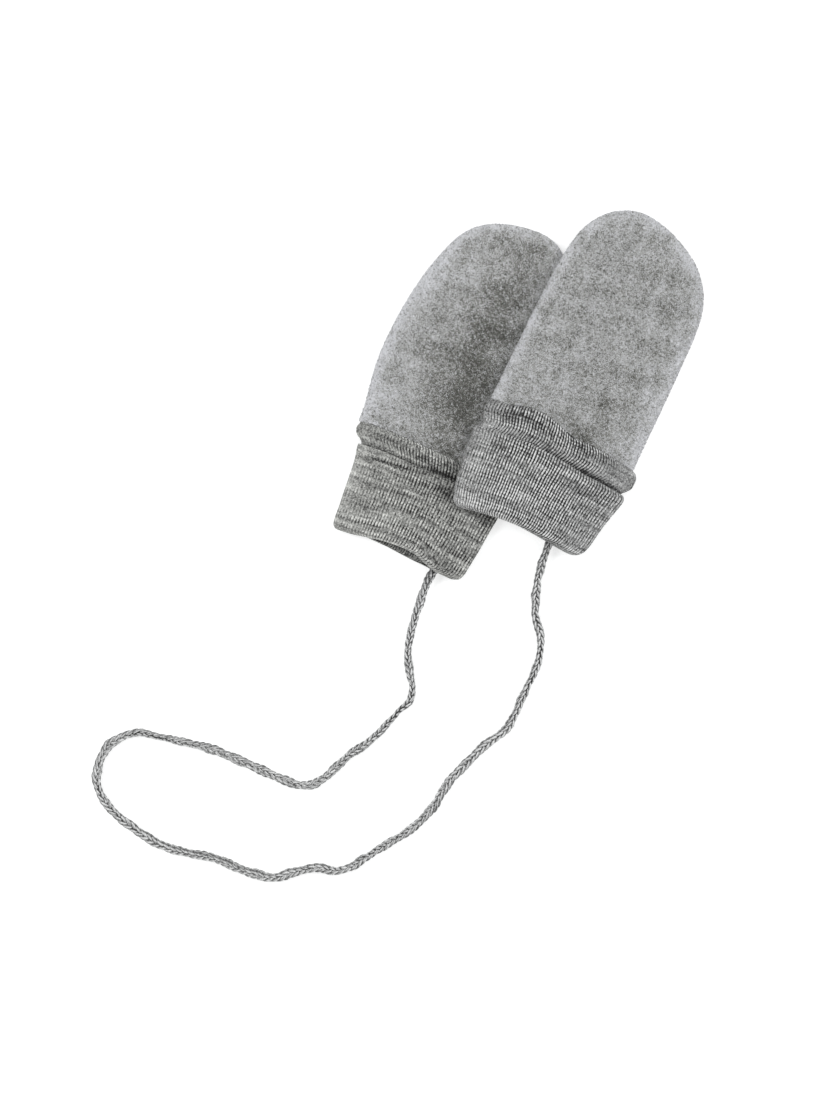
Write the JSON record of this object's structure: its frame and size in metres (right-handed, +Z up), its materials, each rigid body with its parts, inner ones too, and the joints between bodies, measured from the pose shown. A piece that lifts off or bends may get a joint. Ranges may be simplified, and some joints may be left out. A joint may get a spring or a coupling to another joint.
{
  "type": "pair of baby mittens",
  "caption": "Thumbless baby mittens of brushed grey fleece with turned-up rib cuffs, laid flat one partly on the other, joined by a plaited cord.",
  "frame": {"origin": "middle of the two mittens' footprint, on the surface they lie on", "axes": "+X across the mittens towards the upper one, +Y from the cuffs to the tips, +Z up off the surface"},
  "size_m": [0.1759, 0.364, 0.0139],
  "materials": {
    "fleece": "brushed wool fleece, heathered grey",
    "rib": "fine rib knit, grey melange",
    "cord": "plaited, grey melange"
  },
  "bodies": {
    "root": {"left_back": "fleece", "left_front": "fleece", "left_cuff": "rib", "right_back": "fleece", "right_front": "fleece", "right_cuff": "rib", "cord": "cord"}
  },
  "joints": []
}
